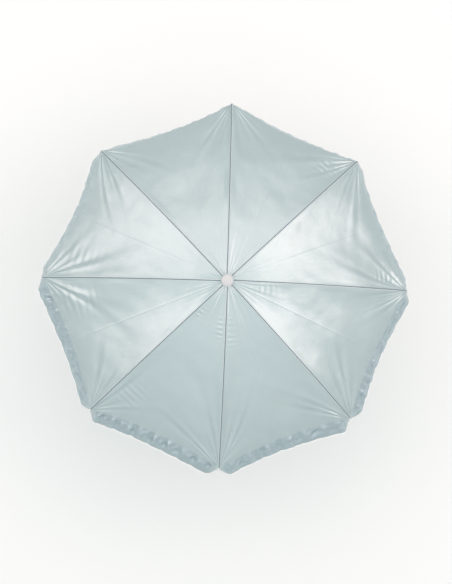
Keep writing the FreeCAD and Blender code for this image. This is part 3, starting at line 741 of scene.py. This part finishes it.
def turned(points, rib):
    """Points beside the first rib, turned round the shaft to another rib."""
    spin = Matrix.Rotation(rib * 2 * HALF_STEP, 3, "Z")
    return [spin @ p for p in points]


def along_rib(profile):
    """A profile of (across, rise) carried along the first rib, as a grid of points."""
    stations = np.linspace(SEAM_START, SEAM_END, SEAM_STATIONS)
    return [[on_rib(x, across, rise) for across, rise in profile] for x in stations]


def seam_strip(name, grid, rib, material):
    """A strip along a rib, from a grid of points along the first rib."""
    points = np.array([turned(row, rib) for row in grid])
    piece = grid_mesh(name, points, None, cloth_uv(points, rib))
    piece.data.materials.append(material)
    return piece


def stitch_row():
    """Points and faces of the stitches along the first rib."""
    verts, faces = [], []
    at = STITCH_START
    while at + STITCH_LENGTH < STITCH_END:
        base = len(verts)
        for x, size in STITCH_SIZES:
            for edge, height in STITCH_SECTION:
                verts.append(on_rib(at + x * STITCH_LENGTH, STITCH_AT + edge * STITCH_HALF * size,
                                    STITCH_BASE + height * STITCH_RISE * size))
        for i in range(len(STITCH_SIZES) - 1):
            row = base + len(STITCH_SECTION) * i
            faces += [(row, row + 3, row + 4, row + 1), (row + 1, row + 4, row + 5, row + 2)]
        at += STITCH_PITCH
    return verts, faces


def make_seams():
    """The felled seam along each rib, its row of stitches, and a dark strip of painted shade on it."""
    seam_grid, shade_grid = along_rib(SEAM_PROFILE), along_rib(SHADE_PROFILE)
    stitches, faces = stitch_row()
    for rib in range(RIBS):
        seam = seam_strip(f"rib_seam_{rib + 1}", seam_grid, rib, CLOTH)
        thread = smooth_mesh(f"seam_stitches_{rib + 1}", turned(stitches, rib), faces)
        thread.data.materials.append(THREAD)
        # the dark strip of painted shade on the seam
        shade_strip = seam_strip(f"seam_painted_shade_{rib + 1}", shade_grid, rib, SEAM_SHADE)
        for piece in (seam, thread, shade_strip):
            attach(piece, f"rib_{rib + 1}")


# ---------------------------------------------------------------- stage, light and camera

SPAN_SHARE = 0.630  # of the frame's long side, taken by the span from tip to tip
VIEW_DISTANCE = 3.2
LEAN_DOWN, LEAN_LEFT, ROLL = math.radians(3.5), math.radians(1.7), math.radians(2.1)
SHIFT_RIGHT, SHIFT_UP = 0.0012, -0.01336  # of the frame's long side
SENSOR = 36.0

FLOOR_REACH = 12.0
FLOOR_COLOR = (0.885, 0.915, 0.91)
LIGHT_AIM = 0.65  # height that the softboxes look at
WARM = (1.0, 0.71, 0.66)  # their colour, which evens out the cloth's blue
# name, distance, degrees round from +X, degrees from straight up, size, watts
SOFTBOXES = (
    ("softbox_right", 2.6, 12, 42, (1.9, 1.8), 16),
    ("softbox_left", 2.6, 169, 44, (1.9, 2.0), 12.5),
    ("softbox_top", 4.6, 92, 36, (3.0, 3.0), 18),
)
# the sky brightens from one height to another, where 0 is level and 1 is straight up
SKY_FROM, SKY_TO = 0.15, 0.90
SKY_LOW, SKY_HIGH = 0.66, 1.06
SKY_COLOR = (0.97, 1.0, 1.0)


def make_camera():
    """Looks down on the cap, a little from the side that shows most of the valance."""
    data = bpy.data.cameras.new("camera")
    data.sensor_width = SENSOR
    data.lens = SENSOR * SPAN_SHARE * VIEW_DISTANCE / (2 * TIP_R)
    camera = in_scene("camera", data)
    target = Vector((0, 0, TIP_Z))
    back = Vector((-math.sin(LEAN_LEFT), -math.sin(LEAN_DOWN), 1)).normalized()
    camera.location = target + back * VIEW_DISTANCE
    up = Vector((math.sin(-ROLL), math.cos(ROLL), 0))
    right = up.cross(back).normalized()
    up = back.cross(right)
    camera.matrix_world = Matrix((
        (right.x, up.x, back.x, camera.location.x),
        (right.y, up.y, back.y, camera.location.y),
        (right.z, up.z, back.z, camera.location.z),
        (0, 0, 0, 1)))
    data.shift_x, data.shift_y = SHIFT_RIGHT, SHIFT_UP
    bpy.context.scene.camera = camera


def make_softbox(name, distance, azimuth, from_zenith, size, watts):
    """A rectangular light, placed by its direction from LIGHT_AIM and turned to face it."""
    data = bpy.data.lights.new(name, "AREA")
    data.shape = "RECTANGLE"
    data.size, data.size_y = size
    data.energy, data.color = watts, WARM
    round_z, down = math.radians(azimuth), math.radians(from_zenith)
    aim = Vector((0, 0, LIGHT_AIM))
    place = Vector((distance * math.cos(round_z) * math.sin(down),
                    distance * math.sin(round_z) * math.sin(down),
                    LIGHT_AIM + distance * math.cos(down)))
    light = in_scene(name, data)
    light.location = place
    light.rotation_mode = "QUATERNION"
    light.rotation_quaternion = (aim - place).to_track_quat("-Z", "Y")


def make_floor():
    """A pale floor, level with the object's lowest point."""
    low, far = cad_box[0].z, FLOOR_REACH
    mesh = bpy.data.meshes.new("floor")
    mesh.from_pydata([(-far, -far, low), (far, -far, low), (far, far, low), (-far, far, low)],
                     [], [(0, 1, 2, 3)])
    floor = in_scene("floor", mesh)
    material, _, _ = new_material("floor", FLOOR_COLOR, 0.0, 0.8)
    mesh.materials.append(material)


def make_sky():
    """A white sky, brighter overhead."""
    world = bpy.data.worlds.new("studio")
    world.use_nodes = True
    tree = world.node_tree
    background = tree.nodes["Background"]
    background.inputs["Color"].default_value = (*SKY_COLOR, 1)
    way = add(tree, "ShaderNodeTexCoord")
    parts = add(tree, "ShaderNodeSeparateXYZ")
    link(tree, way, "Generated", parts, "Vector")
    sky = add(tree, "ShaderNodeMapRange")
    set_input(sky, "From Min", SKY_FROM)
    set_input(sky, "From Max", SKY_TO)
    set_input(sky, "To Min", SKY_LOW)
    set_input(sky, "To Max", SKY_HIGH)
    link(tree, parts, "Z", sky, "Value")
    link(tree, sky, "Result", background, "Strength")
    bpy.context.scene.world = world
    bpy.context.scene.view_settings.view_transform = "Standard"


# ---------------------------------------------------------------- make everything

make_camera()
make_floor()
for softbox in SOFTBOXES:
    make_softbox(*softbox)
make_sky()
dress_cad_nodes()
canopy = canopy_points()
make_canopy(canopy, grid_normals(canopy, True))
make_valances(canopy)
make_seams()
